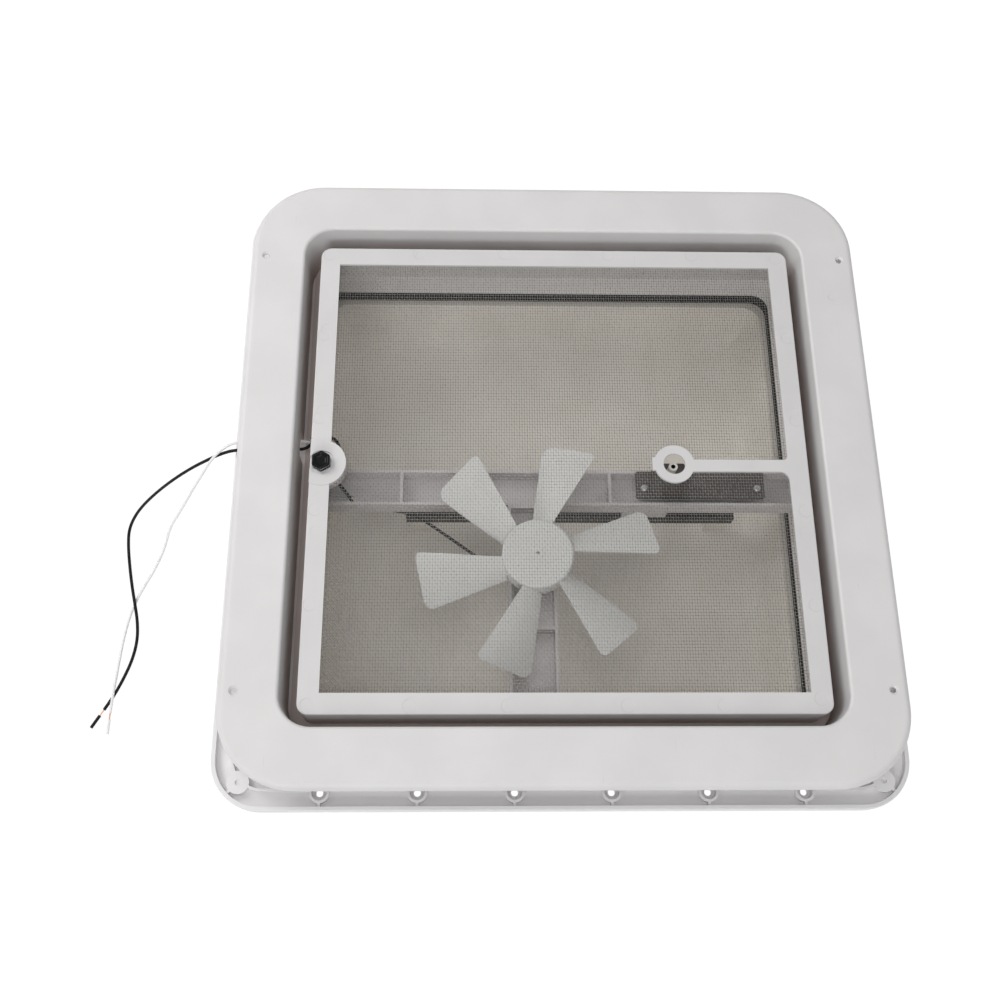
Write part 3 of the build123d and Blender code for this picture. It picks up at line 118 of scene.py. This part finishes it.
class Finish:
    """One material, built from Python expressions."""

    def __init__(self, name):
        self.material = bpy.data.materials.new(name)
        self.material.use_nodes = True
        self.tree = self.material.node_tree
        self.tree.nodes.clear()
        self.end = self.tree.nodes.new("ShaderNodeOutputMaterial")

    def node(self, kind, settings=None, inputs=None, output=0):
        """A node with its settings and sockets, as the Signal of one of its outputs."""
        made = self.tree.nodes.new(kind)
        for name, value in (settings or {}).items():
            setattr(made, name, value)
        for name, value in (inputs or {}).items():
            if isinstance(value, Signal):
                self.tree.links.new(value.socket, made.inputs[name])
            else:
                made.inputs[name].default_value = value
        return Signal(self, made.outputs[output])

    def place(self):
        """The point on the piece, in metres."""
        return self.node("ShaderNodeTexCoord", output="Object")

    def axis(self, letter):
        return self.node("ShaderNodeSeparateXYZ", None, {"Vector": self.place()}, output=letter)

    def stretched(self, scale):
        return self.node("ShaderNodeMapping", None, {"Vector": self.place(), "Scale": scale})

    def noise(self, size, detail=2.0, roughness=0.5, vector=None):
        """Soft noise with features of this size, from 0 to 1."""
        return self.node(
            "ShaderNodeTexNoise",
            {"noise_dimensions": "3D"},
            {
                "Vector": vector or self.place(), "Scale": 1.0 / (size * MM),
                "Detail": detail, "Roughness": roughness,
            },
        )

    def cells(self, size):
        """The distance from the nearest of scattered points that lie this far apart."""
        return self.node(
            "ShaderNodeTexVoronoi", None, {"Vector": self.place(), "Scale": 1.0 / (size * MM)}
        )

    def distance(self, point, vector=None):
        """How far the point on the piece is from a place, in metres."""
        return self.node(
            "ShaderNodeVectorMath", {"operation": "DISTANCE"},
            {0: vector or self.place(), 1: [part * MM for part in point]}, output="Value",
        )

    def from_middle(self):
        """The larger of the distances from the two middle planes of the vent, in metres."""
        return self.axis("X").absolute().larger(self.axis("Y").absolute())

    def nearest(self, points):
        """How far the nearest of some places is, in metres."""
        reach = self.distance(points[0])
        for point in points[1:]:
            reach = reach.smaller(self.distance(point))
        return reach

    def blend(self, share, first, second):
        """A colour between two, by a share."""
        return self.node(
            "ShaderNodeMix", {"data_type": "RGBA"},
            {0: share, 6: self.colour(first), 7: self.colour(second)}, output=2,
        )

    def colour(self, value):
        return value if isinstance(value, Signal) else (*value, 1.0)

    def bump(self, height, depth, normal=None):
        """Relief of this depth from a height of 0 to 1, on top of another relief if given."""
        inputs = {"Height": height, "Distance": depth * MM, "Strength": 1.0}
        if normal is not None:
            inputs["Normal"] = normal
        return self.node("ShaderNodeBump", None, inputs)

    def surface(self, base_color, **inputs):
        """Ends the finish in a Principled shader and returns the material."""
        named = {name.title(): value for name, value in inputs.items() if name != "specular"}
        named["Base Color"] = base_color
        if "specular" in inputs:
            named["Specular IOR Level"] = inputs["specular"]
        shader = self.node("ShaderNodeBsdfPrincipled", None, named)
        self.tree.links.new(shader.socket, self.end.inputs["Surface"])
        return self.material


def shaded(colour, share):
    """A colour made darker or lighter by a share."""
    return tuple(share * part for part in colour)


# Plastic finishes

cloud_size = 38.0
rub_size = 9.0
streak_size, streak_shape = 1.1, (1.0, 0.06, 0.4)
patch_size = 26.0
speck_size = 7.5
# Painted gap shade: how far its height wavers and how soft its side edges are.
gap_shade_waver = 6.0
gap_shade_edge = 0.6
socket_edge = (-0.02, 0.03)
# Painted shade: the near-black colour inside the socket's hole.
socket_shade = (0.02, 0.018, 0.016)
print_line = 0.35
print_slope = 0.45
print_depth = 0.14


def moulded(name, colour, roughness, grain=0.7, depth=0.012, tint=None, specular=0.4,
            gap_shade=None, scuffs=0.0, marks=(), mark_radius=4.2, socket=None):
    """Moulded plastic: an eroded grain, faint clouding, rubbed spots, fine scratches and dirt.

    Gap shade is painted shade, the brown of the deep gaps: its colour, the heights between which
    it comes and those between which it goes, and how far from the middle it starts and stops.
    Marks are the places where ejector pins left a shallow round print, with painted shade along
    its rim.
    A socket is a hole, given by its middle and radius, that is painted near black inside as shade.
    """
    finish = Finish(name)
    cloud = finish.noise(cloud_size, detail=3.0)
    fine = finish.noise(grain, detail=3.0, roughness=0.6)
    rubbed = finish.noise(rub_size, detail=4.0, roughness=0.65).between(0.62, 0.74)
    base = finish.blend(cloud.between(0.35, 0.7), tint or shaded(colour, 0.95), colour)
    base = finish.blend(fine.between(0.2, 0.8) * 0.35, base, shaded(colour, 0.94))
    # Painted shade: brown on the walls low in the gaps between the pieces, where shade falls.
    if gap_shade:
        height = finish.axis("Z") + (cloud - 0.5) * (gap_shade_waver * MM)
        reach = finish.from_middle()
        inner, outer = gap_shade["within"]
        started = reach.between((inner - gap_shade_edge) * MM, inner * MM)
        there = started - reach.between(outer * MM, (outer + gap_shade_edge) * MM)
        there = there * height.between(*(level * MM for level in gap_shade["comes"]))
        gone = height.between(*(level * MM for level in gap_shade["goes"]))
        base = finish.blend((1.0 - gone) * there, base, gap_shade["shade"])
    # Painted shade: the inside of the socket's hole is painted near black.
    if socket:
        (across, along), radius = socket
        flat = finish.distance((across, along, 0.0), finish.stretched((1.0, 1.0, 0.0)))
        outside = flat.between(*((radius + edge) * MM for edge in socket_edge))
        base = finish.blend(outside, socket_shade, base)
    height = fine
    if scuffs:
        streaks = finish.noise(streak_size, detail=1.0, vector=finish.stretched(streak_shape))
        patches = finish.noise(patch_size, detail=2.0).between(0.54, 0.66)
        specks = 1.0 - finish.cells(speck_size).between(0.03, 0.055)
        marked = streaks.between(0.70, 0.76) * patches * scuffs
        base = finish.blend(marked + specks * patches * scuffs, base, shaded(colour, 0.72))
        height = fine - marked * 0.8
    relief = finish.bump(height, depth)
    if marks:
        reach = finish.nearest(marks)
        edge, line, slope = mark_radius * MM, print_line * MM, print_slope * MM
        # Painted shade: a thin darker ring along the rim of each print.
        print_rim_shade = reach.between(edge - line, edge) - reach.between(edge, edge + line)
        base = finish.blend(print_rim_shade * 0.22, base, shaded(colour, 0.70))
        relief = finish.bump(reach.between(edge - slope, edge + slope), print_depth, relief)
    return finish.surface(
        base_color=base,
        roughness=roughness + fine * 0.10 - rubbed * 0.08,
        specular=specular,
        normal=relief,
    )


# Painted shade: the brown shade of the deep gaps between ring, frame and base.
painted_gap_shade = (0.50, 0.425, 0.395)
frame_face = 113.0
trim_face = 120.0
frame_marks = tuple(
    (x, y, frame_face)
    for x, y in [(x, y) for x in (-94.3, -34.6, 38.0, 97.0) for y in (157.6, -159.2)]
    + [(x, y) for x in (-157.2, 158.9) for y in (92.9, 31.0, -33.3, -96.2)]
    + [(-156.3, -159.0), (156.4, -155.0), (-156.3, 156.0), (156.4, 156.0)]
)
crank_middle = (75.6, -0.6)
crank_bore = 1.45

white_ring = moulded(
    "white_ring", (0.785, 0.773, 0.771), 0.40, grain=0.8, depth=0.02, scuffs=0.2,
    gap_shade={
        "shade": painted_gap_shade, "comes": (60.0, 61.0), "goes": (84.0, 107.0),
        "within": (0.0, 176.0),
    },
    marks=((-198.4, -152.1, trim_face), (190.8, 121.4, trim_face)), mark_radius=2.6,
)
white_base = moulded(
    "white_base", (0.88, 0.87, 0.875), 0.36, grain=1.1, depth=0.012, scuffs=0.15,
    gap_shade={
        "shade": painted_gap_shade, "comes": (74.0, 80.0), "goes": (120.0, 140.0),
        "within": (160.0, 174.0),
    },
)
white_frame = moulded(
    "white_frame", (0.73, 0.72, 0.718), 0.38, grain=0.6, depth=0.010, scuffs=0.2,
    gap_shade={
        "shade": painted_gap_shade, "comes": (60.0, 61.0), "goes": (82.0, 104.0),
        "within": (161.5, 180.0),
    },
    marks=frame_marks,
)
beige_lid = moulded(
    "beige_lid", (0.92, 0.88, 0.81), 0.44, grain=1.4, depth=0.02, tint=(0.87, 0.82, 0.74),
    scuffs=0.15,
)
grey_bar = moulded("grey_bar", (0.70, 0.67, 0.672), 0.42, grain=0.9, depth=0.015, scuffs=0.2)
white_fan = moulded("white_fan", (0.79, 0.79, 0.77), 0.22, grain=2.4, depth=0.010, specular=0.5)
pale_nylon = moulded(
    "pale_nylon", (0.74, 0.72, 0.67), 0.34, grain=1.0, depth=0.010,
    socket=(crank_middle, crank_bore),
)
roller_nylon = moulded("roller_nylon", (0.76, 0.75, 0.70), 0.36, grain=1.0, depth=0.010)
cap_nylon = moulded("cap_nylon", (0.66, 0.66, 0.62), 0.42, grain=0.8, depth=0.012)
black_switch = moulded("black_switch", (0.020, 0.020, 0.021), 0.40, grain=0.7, depth=0.012)
black_button = moulded(
    "black_button", (0.006, 0.006, 0.007), 0.20, grain=1.5, depth=0.004, specular=0.22
)


# Metal finishes

tarnish_size = 6.0
smut_size = 22.0
glint_size = 2.2
warp_pitch = 1.7
weft_pitch = 2.04
wire_dip = 0.16


def metal(name, colour, roughness, brushed=(1.0, 1.0, 1.0), size=0.5, depth=0.004, worn=None):
    """Metal with fine drawn lines and a little tarnish."""
    finish = Finish(name)
    lines = finish.noise(size, detail=2.0, vector=finish.stretched(brushed))
    tarnish = finish.noise(tarnish_size, detail=4.0, roughness=0.6)
    base = finish.blend(tarnish.between(0.45, 0.75), colour, worn or shaded(colour, 0.72))
    return finish.surface(
        base_color=base,
        metallic=1.0,
        roughness=roughness + lines * 0.12 + tarnish * 0.08,
        normal=finish.bump(lines, depth),
    )


def woven_wire(name, colour):
    """Screen wire: dull drawn metal that looks as if it dips at each crossing, painted darker in
    the dips as shade, with smut on it.
    """
    finish = Finish(name)
    turns = finish.axis("X") * (math.pi / (warp_pitch * MM))
    phase = (turns + finish.axis("Y") * (math.pi / (weft_pitch * MM))).sine()
    smut = finish.noise(smut_size, detail=3.0)
    bright = finish.noise(glint_size, detail=1.0)
    base = finish.blend(smut.between(0.35, 0.7), colour, shaded(colour, 0.86))
    # Painted shade: each wire is painted darker where it dips under the crossing wire.
    base = finish.blend(phase.between(-0.9, 0.2), shaded(colour, 0.62), base)
    return finish.surface(
        base_color=base,
        metallic=0.35,
        roughness=0.34 - bright.between(0.5, 0.7) * 0.14,
        normal=finish.bump(phase * 0.5 + 0.5, wire_dip),
    )


dark_plate = metal(
    "dark_plate", (0.13, 0.115, 0.112), 0.46, (1.0, 8.0, 1.0), worn=(0.19, 0.17, 0.165)
)
black_track = metal(
    "black_track", (0.045, 0.043, 0.042), 0.42, (0.05, 1.0, 1.0), worn=(0.10, 0.095, 0.09)
)
arm_steel = metal("arm_steel", (0.40, 0.39, 0.38), 0.36, (0.05, 1.0, 1.0), worn=(0.28, 0.27, 0.26))
plain_steel = metal("plain_steel", (0.60, 0.60, 0.61), 0.28, (1.0, 1.0, 0.2))
bright_steel = metal("bright_steel", (0.78, 0.78, 0.79), 0.18, (1.0, 1.0, 1.0))
motor_steel = metal("motor_steel", (0.55, 0.55, 0.56), 0.30, (1.0, 1.0, 0.05))
rivet_alloy = metal("rivet_alloy", (0.68, 0.68, 0.69), 0.34, (1.0, 1.0, 1.0))
dark_magnet = metal("dark_magnet", (0.10, 0.10, 0.105), 0.55, (1.0, 1.0, 1.0))
laminations = metal("laminations", (0.36, 0.34, 0.32), 0.45, (0.1, 0.1, 1.0))
brass_tag = metal("brass_tag", (0.72, 0.52, 0.24), 0.32, (1.0, 1.0, 0.2))
chrome_nut = metal("chrome_nut", (0.92, 0.92, 0.93), 0.16, (1.0, 1.0, 1.0), depth=0.001)
bare_copper = metal(
    "bare_copper", (0.86, 0.50, 0.34), 0.30, (1.0, 0.25, 1.0), size=0.35, depth=0.08
)
# One screen wire in two shades: the weft along X painted lighter as lit wire, the warp along Y
# painted darker as shaded wire.
shaded_warp_wire = woven_wire("shaded_warp_wire", (0.42, 0.405, 0.385))
lit_weft_wire = woven_wire("lit_weft_wire", (0.52, 0.505, 0.48))


# Soft finishes

ripple_size = 4.0
skin_size = 0.5
ripple_depth = 0.03
foam_cell = 0.9
foam_cloud = 12.0
foam_depth = 0.16


def insulation(name, colour, roughness, gloss):
    """Soft wire insulation with a slight waviness along it."""
    finish = Finish(name)
    wave = finish.noise(ripple_size, detail=2.0)
    fine = finish.noise(skin_size, detail=2.0)
    paler = tuple(min(0.92, 1.2 * part + 0.002) for part in colour)
    return finish.surface(
        base_color=finish.blend(wave.between(0.3, 0.7), colour, paler),
        roughness=roughness + fine * 0.12,
        specular=gloss,
        normal=finish.bump(wave * 0.7 + fine * 0.3, ripple_depth),
    )


def foam(name, colour):
    """Closed-cell foam: small open cells on its cut faces."""
    finish = Finish(name)
    cells = finish.cells(foam_cell)
    cloud = finish.noise(foam_cloud, detail=3.0)
    paler = tuple(1.7 * part + 0.004 for part in colour)
    return finish.surface(
        base_color=finish.blend(cloud.between(0.3, 0.7), colour, paler),
        roughness=0.86 + cells * 0.1,
        specular=0.25,
        normal=finish.bump(cells, foam_depth),
    )


black_foam = foam("black_foam", (0.008, 0.0075, 0.0075))
black_wire = insulation("black_wire", (0.004, 0.004, 0.005), 0.44, 0.22)
white_wire = insulation("white_wire", (0.90, 0.90, 0.905), 0.34, 0.5)


# Finishes of the CAD pieces

cad_finishes = {
    "trim_ring": white_ring, "roof_base": white_base, "screen_frame": white_frame,
    "insect_mesh": shaded_warp_wire, "lid_dome": beige_lid, "lid_gasket": black_foam,
    "hinge_pins": plain_steel, "lid_track": black_track, "track_rivets": rivet_alloy,
    "crossbar": grey_bar, "crossbar_screws": bright_steel,
    "motor_can": motor_steel, "motor_magnets": dark_magnet, "motor_cap": cap_nylon,
    "motor_terminals": brass_tag, "motor_screws": bright_steel, "motor_shaft": plain_steel,
    "armature": laminations, "fan": white_fan, "crank_spindle": pale_nylon, "lift_arm": arm_steel,
    "pivot_pin": plain_steel, "pivot_bushes": cap_nylon, "roller_pin": plain_steel,
    "arm_roller": roller_nylon, "crank_housing": grey_bar, "crank_plate": dark_plate,
    "plate_screws": bright_steel, "switch_body": black_switch, "switch_terminals": brass_tag,
    "switch_nut": chrome_nut, "switch_button": black_button, "wire_switch_feed": black_wire,
    "wire_switch_motor": black_wire, "wire_motor_return": white_wire, "lead_black": black_wire,
    "lead_white": white_wire, "strand_black": bare_copper, "strand_white": bare_copper,
    "sleeve_black": black_wire, "sleeve_white": white_wire,
}
for name, finish in cad_finishes.items():
    nodes[name].data.materials.clear()
    nodes[name].data.materials.append(finish)


# Leads

black_width = 2.2
white_width = 1.9
black_length = 307.0
white_length = 288.0
round_steps = 4
route_steps = 10
black_route = (
    (-177.0, 20.0, 86.0), (-194.0, 20.0, 86.0), (-216.8, 19.4, 85.8), (-225.2, 18.6, 82.5),
    (-234.0, 18.3, 75.5), (-252.7, 16.0, 60.5), (-272.3, 11.5, 43.0), (-290.2, 6.3, 24.0),
    (-302.2, 1.0, 9.0), (-308.4, -8.1, 1.4), (-307.6, -21.0, 1.1), (-304.9, -36.3, 1.1),
    (-301.5, -51.0, 2.2), (-297.4, -65.5, 3.7), (-294.6, -77.7, 2.4), (-293.5, -91.2, 1.1),
    (-295.6, -105.6, 1.1), (-300.6, -119.8, 1.1), (-306.4, -132.5, 1.1), (-311.4, -140.8, 1.1),
)
white_route = (
    (-177.0, 26.0, 86.2), (-193.9, 26.0, 86.2), (-215.5, 25.3, 86.2), (-223.8, 22.3, 85.2),
    (-232.8, 16.4, 80.5), (-243.6, 7.6, 66.0), (-253.8, 3.6, 47.0), (-267.6, -5.2, 24.0),
    (-276.5, -8.9, 8.5), (-280.1, -16.5, 1.2), (-282.4, -27.0, 0.95), (-287.1, -40.0, 0.95),
    (-292.7, -51.4, 0.95), (-298.2, -64.1, 0.95), (-301.4, -76.6, 0.95), (-303.4, -89.7, 0.95),
    (-304.6, -103.4, 0.95), (-305.2, -117.3, 2.2), (-305.8, -132.3, 3.8), (-306.4, -143.1, 2.65),
)


def lead(name, route, diameter, finish):
    """A lead as one smooth spline through its route."""
    curve = bpy.data.curves.new(name, "CURVE")
    curve.dimensions = "3D"
    curve.bevel_depth = diameter / 2 * MM
    curve.bevel_resolution = round_steps
    curve.use_fill_caps = True
    curve.resolution_u = route_steps
    spline = curve.splines.new("NURBS")
    spline.points.add(len(route) - 1)
    for point, (x, y, z) in zip(spline.points, route):
        point.co = (x * MM, y * MM, z * MM, 1.0)
    spline.order_u = 3
    spline.use_endpoint_u = True
    curve.materials.append(finish)
    piece = bpy.data.objects.new(name, curve)
    bpy.context.scene.collection.objects.link(piece)
    return piece


for colour, route, length, diameter, finish in (
    ("black", black_route, black_length, black_width, black_wire),
    ("white", white_route, white_length, white_width, white_wire),
):
    piece = lead(f"{colour}_lead", route, diameter, finish)
    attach(piece, "base")
    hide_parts(f"lead_{colour}")


# Insect screen

screen_middle = (0.8, -1.4)
screen_reach = 153.4
button_middle = (-154.6, -0.9)
crank_hole = 8.2
button_hole = 15.9
screen_holes = ((crank_middle, crank_hole), (button_middle, button_hole))
warp_level = 110.88
weft_level = 110.71
wire_width = 0.27
wire_thickness = 0.20
wire_sides = 6
shortest_wire = 0.5


def finished(name, mesh, material, body):
    """A bmesh as a smooth piece that rides on a body."""
    data = bpy.data.meshes.new(name)
    mesh.to_mesh(data)
    mesh.free()
    for polygon in data.polygons:
        polygon.use_smooth = True
    data.materials.append(material)
    piece = bpy.data.objects.new(name, data)
    bpy.context.scene.collection.objects.link(piece)
    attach(piece, body)
    return piece


def free_spans(place, low, high, holes):
    """The stretches of one screen wire that are left beside round holes."""
    spans = [(low, high)]
    for across, along, radius in holes:
        reach = radius ** 2 - (place - across) ** 2
        if reach <= 0:
            continue
        half = math.sqrt(reach)
        cut = []
        for start, stop in spans:
            cut += [(start, min(stop, along - half)), (max(start, along + half), stop)]
        spans = [(start, stop) for start, stop in cut if stop - start > shortest_wire]
    return spans


def wires(name, run, pitch, level, material):
    """One layer of parallel screen wires along X (run 0) or Y (run 1), inside the frame."""
    layer = bmesh.new()
    side = 1 - run
    count = int(2 * screen_reach / pitch)
    first = screen_middle[side] - (count - 1) / 2 * pitch
    low, high = screen_middle[run] - screen_reach, screen_middle[run] + screen_reach
    holes = [(middle[side], middle[run], radius) for middle, radius in screen_holes]
    turn = Matrix.Rotation(math.pi / 2, 4, "YX"[run])
    for index in range(count):
        place = first + index * pitch
        for start, stop in free_spans(place, low, high, holes):
            spot = Vector((0.0, 0.0, level))
            spot[run], spot[side] = (start + stop) / 2, place
            size = Vector((wire_width, wire_width, wire_thickness))
            size[run] = stop - start
            bmesh.ops.create_cone(
                layer, cap_ends=True, segments=wire_sides, radius1=0.5, radius2=0.5, depth=1.0,
                matrix=Matrix.LocRotScale(spot * MM, None, size * MM) @ turn,
            )
    bmesh.ops.recalc_face_normals(layer, faces=layer.faces)
    return finished(name, layer, material, "base")


warp = wires("screen_warp", 1, warp_pitch, warp_level, shaded_warp_wire)
wires("screen_weft", 0, weft_pitch, weft_level, lit_weft_wire)
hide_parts("insect_mesh")


# Push-button

corners = 6
corner_steps = 5
half_turn = math.pi / corners
across_flats = 11.6
tip = across_flats / 2 / math.cos(half_turn)
button_foot = 116.0

# Ring by ring: the radius at the corners, the height over the foot, the corners' rounding.
button_profile = (
    (tip - 0.15, 0.0, 1.6), (tip, 0.15, 1.6), (tip, 1.8, 1.6), (tip - 0.25, 2.2, 1.6),
    (tip - 0.8, 2.4, 1.5), (tip - 1.5, 2.35, 1.4), (tip - 2.0, 2.1, 1.6),
    (tip - 2.5, 1.35, 1.9), (tip - 3.4, 1.1, 2.4), (tip - 5.2, 1.25, 1.2),
)


def rounded_hexagon(mesh, radius, level, rounding):
    """New vertices round a hexagon with rounded corners, at one height."""
    made = []
    inner = radius - rounding / math.cos(half_turn)
    for corner in range(corners):
        angle = (2 * corner + 1) * half_turn
        for step in range(corner_steps):
            swing = angle + (2 * step / (corner_steps - 1) - 1) * half_turn
            spot = Vector((
                button_middle[0] + inner * math.cos(angle) + rounding * math.cos(swing),
                button_middle[1] + inner * math.sin(angle) + rounding * math.sin(swing),
                level,
            ))
            made.append(mesh.verts.new(spot * MM))
    return made


def skinned(mesh, rings):
    """Faces between rings of equal count, and a cap on the first and the last."""
    mesh.faces.new(list(reversed(rings[0])))
    for lower, upper in zip(rings, rings[1:]):
        for index, vertex in enumerate(lower):
            following = (index + 1) % len(lower)
            mesh.faces.new((vertex, lower[following], upper[following], upper[index]))
    mesh.faces.new(rings[-1])
    bmesh.ops.recalc_face_normals(mesh, faces=mesh.faces)


cap = bmesh.new()
skinned(cap, [
    rounded_hexagon(cap, radius, button_foot + rise, rounding)
    for radius, rise, rounding in button_profile
])
button = finished("button_cap", cap, black_button, "button")
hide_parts("switch_button")


# Floor

floor_reach = 6000.0
floor_drop = 0.2
white = (1.0, 1.0, 1.0, 1.0)

floor_finish = Finish("floor_white")
camera_ray = floor_finish.node("ShaderNodeLightPath", output="Is Camera Ray")
glossy_ray = floor_finish.node("ShaderNodeLightPath", output="Is Glossy Ray")
through_ray = floor_finish.node("ShaderNodeLightPath", output="Is Transmission Ray")
plain = floor_finish.node("ShaderNodeBsdfDiffuse", None, {"Color": (0.80, 0.80, 0.80, 1.0)})
faint = floor_finish.node("ShaderNodeBsdfDiffuse", None, {"Color": (0.12, 0.12, 0.12, 1.0)})
glow = floor_finish.node("ShaderNodeEmission", None, {"Color": white, "Strength": 0.95})
shown = floor_finish.node("ShaderNodeAddShader", None, {0: faint, 1: glow})
chosen = floor_finish.node(
    "ShaderNodeMixShader", None, {0: camera_ray + glossy_ray + through_ray, 1: plain, 2: shown}
)
floor_finish.tree.links.new(chosen.socket, floor_finish.end.inputs["Surface"])

ground = bmesh.new()
bmesh.ops.create_grid(ground, x_segments=1, y_segments=1, size=floor_reach * MM)
bmesh.ops.translate(ground, verts=ground.verts, vec=(0.0, 0.0, -floor_drop * MM))
floor_data = bpy.data.meshes.new("floor")
ground.to_mesh(floor_data)
ground.free()
floor_data.materials.append(floor_finish.material)
floor = bpy.data.objects.new("floor", floor_data)
bpy.context.scene.collection.objects.link(floor)


# Background: the camera sees plain white, the vent a softer room light

room_strength = 0.42
backdrop_strength = 1.0

world = bpy.data.worlds.new("studio")
bpy.context.scene.world = world
world.use_nodes = True
sky = world.node_tree
sky.nodes.clear()
rays = sky.nodes.new("ShaderNodeLightPath")
seen = sky.nodes.new("ShaderNodeMath")
seen.operation = "MAXIMUM"
sky.links.new(rays.outputs["Is Camera Ray"], seen.inputs[0])
sky.links.new(rays.outputs["Is Transmission Ray"], seen.inputs[1])
choose = sky.nodes.new("ShaderNodeMixShader")
sky.links.new(seen.outputs[0], choose.inputs[0])
for place, strength in enumerate((room_strength, backdrop_strength), start=1):
    light = sky.nodes.new("ShaderNodeBackground")
    light.inputs["Color"].default_value = white
    light.inputs["Strength"].default_value = strength
    sky.links.new(light.outputs[0], choose.inputs[place])
world_end = sky.nodes.new("ShaderNodeOutputWorld")
sky.links.new(choose.outputs[0], world_end.inputs["Surface"])


# Lamps, with places and sizes in metres

lamp_aim = Vector((0.0, 0.0, 0.1))


def softbox(name, place, size, power, colour):
    """A square area lamp that points at the vent."""
    light = bpy.data.lights.new(name, "AREA")
    light.shape = "SQUARE"
    light.size = size
    light.energy = power
    light.color = colour
    lamp = bpy.data.objects.new(name, light)
    bpy.context.scene.collection.objects.link(lamp)
    lamp.location = place
    lamp.rotation_euler = (lamp_aim - Vector(place)).to_track_quat("-Z", "Y").to_euler()


softbox("over", (-0.15, -0.25, 2.2), 1.0, 7.5, (1.0, 1.0, 1.0))
softbox("front", (-0.45, -2.0, 1.2), 0.8, 14.0, (1.0, 0.995, 1.0))
softbox("side", (-0.95, 0.5, 1.0), 0.7, 6.5, (1.0, 0.995, 0.99))

bpy.context.scene.view_settings.view_transform = "Standard"
